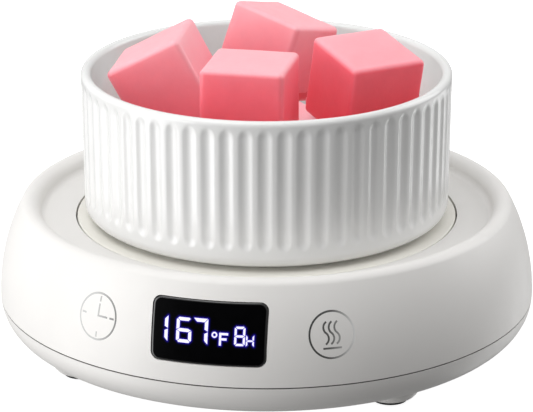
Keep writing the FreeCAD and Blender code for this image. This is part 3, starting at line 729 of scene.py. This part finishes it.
def window():
    low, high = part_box("display_window")
    half_w = (high.x - low.x) / 2
    half_h = (high.z - low.z) / 2
    mid_z = (high.z + low.z) / 2

    def ring(inset, depth, scale=1.0):
        flat = rounded_outline(half_w - inset, half_h - inset, WINDOW_CORNER - inset, 70, 14) * scale
        return on_side(flat[:, 0], flat[:, 1] + mid_z, depth + WINDOW_SINK)

    rings = [ring(0, WINDOW_T - WINDOW_SINK, s) for s in (0.05, 0.5, 0.9, 1.0)]
    for angle in np.radians(np.linspace(0, 90, 7)):
        rings.append(ring(WINDOW_EDGE * (1 - math.cos(angle)), WINDOW_EDGE * (1 - math.sin(angle))))
    rings += [ring(WINDOW_EDGE, 0, s) for s in np.linspace(0.985, 0.01, WINDOW_RINGS)]
    points, faces = loft(rings, True, True)
    obj = piece("smoked_window", points, faces, "window", "base", "display_window")
    dots = digit_edges()
    tree = kdtree.KDTree(len(dots))
    for i, dot in enumerate(dots):
        tree.insert(dot, i)
    tree.balance()
    glow = [math.exp(-(tree.find(Vector(p))[2] / GLOW_REACH) ** 2) for p in points]
    paint(obj, "glow", glow)
    face_start = len(points) - 1 - WINDOW_RINGS * len(rings[0])
    paint(obj, "polish", [1.0 if i < face_start else 0.0 for i in range(len(points))])
    return obj


# ---------------------------------------------------------------- stage, light and camera

def pale_floor():
    """Plain floor of a white photo table. Only the camera sees it: it throws no light and blocks none."""
    bpy.ops.mesh.primitive_plane_add(size=6.0, location=(0, 0, -0.0002))
    floor = bpy.context.object
    floor.name = "studio_floor"
    floor.visible_diffuse = False
    floor.visible_glossy = False
    floor.visible_shadow = False
    g = Graph("pale_floor")
    g.set(roughness=0.9)
    g.join(g.ramp(g.noise(3.0), (0.3, (0.38, 0.38, 0.38)), (0.7, (0.40, 0.40, 0.40))),
           g.shader.inputs["Base Color"])
    g.shader.inputs["Emission Color"].default_value = (1, 1, 1, 1)
    g.shader.inputs["Emission Strength"].default_value = 0.9
    floor.data.materials.append(g.material)


def softbox(name, azimuth, elevation, distance, width, height, power):
    """Area light facing the object; the azimuth is measured from the camera's side, to the right."""
    data = bpy.data.lights.new(name, "AREA")
    data.shape = "RECTANGLE"
    data.size = width
    data.size_y = height
    data.energy = power
    light = bpy.data.objects.new(name, data)
    bpy.context.scene.collection.objects.link(light)
    a = math.radians(azimuth + CAMERA_AZIMUTH)
    e = math.radians(elevation)
    back = Vector((math.sin(a) * math.cos(e), -math.cos(a) * math.cos(e), math.sin(e)))
    light.location = Vector((0, 0, 0.04)) + back * distance
    light.rotation_euler = (-back).to_track_quat("-Z", "Y").to_euler()


def studio():
    softbox("key_left", -64, 6, 0.9, 0.7, 0.7, 4.2)
    softbox("top", -50, 68, 0.9, 0.7, 0.7, 3.2)
    softbox("rim_right", 110, 24, 0.9, 0.6, 0.7, 2.9)
    softbox("bounce_left", -75, -32, 0.9, 0.6, 0.6, 2.3)
    softbox("bounce_right", 125, -30, 0.9, 0.6, 0.6, 1.5)
    world = bpy.data.worlds.new("studio")
    world.use_nodes = True
    nodes = world.node_tree.nodes
    links = world.node_tree.links
    way = nodes.new("ShaderNodeTexCoord")
    # the room is brightest above, towards the back left
    toward = nodes.new("ShaderNodeVectorMath")
    toward.operation = "DOT_PRODUCT"
    toward.inputs[1].default_value = (-0.35, 0.25, 0.9)
    glow = nodes.new("ShaderNodeMapRange")
    links.new(way.outputs["Generated"], toward.inputs[0])
    links.new(toward.outputs["Value"], glow.inputs["Value"])
    for key, value in (("From Min", -0.6), ("From Max", 1.0), ("To Min", 0.14), ("To Max", 0.84)):
        glow.inputs[key].default_value = value
    links.new(glow.outputs["Result"], nodes["Background"].inputs["Strength"])
    nodes["Background"].inputs["Color"].default_value = (1, 1, 1, 1)
    bpy.context.scene.world = world
    bpy.context.scene.view_settings.view_transform = "Standard"


def camera():
    data = bpy.data.cameras.new("camera")
    data.lens = CAMERA_LENS
    data.sensor_width = 36.0
    obj = bpy.data.objects.new("camera", data)
    bpy.context.scene.collection.objects.link(obj)
    a = math.radians(CAMERA_AZIMUTH)
    obj.location = (CAMERA_DISTANCE * math.sin(a), -CAMERA_DISTANCE * math.cos(a), CAMERA_HEIGHT)
    obj.rotation_euler = (math.radians(90 - CAMERA_PITCH), 0, a)
    bpy.context.scene.camera = obj


finish_nodes()
smooth_side()
dish()
window()
wax_cubes("wax_cubes_below", "wax_cubes_lower", "lower_cubes", 1, LOWER_LIGHT_LEVEL)
for number, (side, tone) in enumerate(CUBE_LIGHT_LEVELS.items()):
    wax_cubes("wax_piece_" + side, "wax_cube_" + side, "cube_" + side, 2 + number, tone)
pale_floor()
studio()
camera()
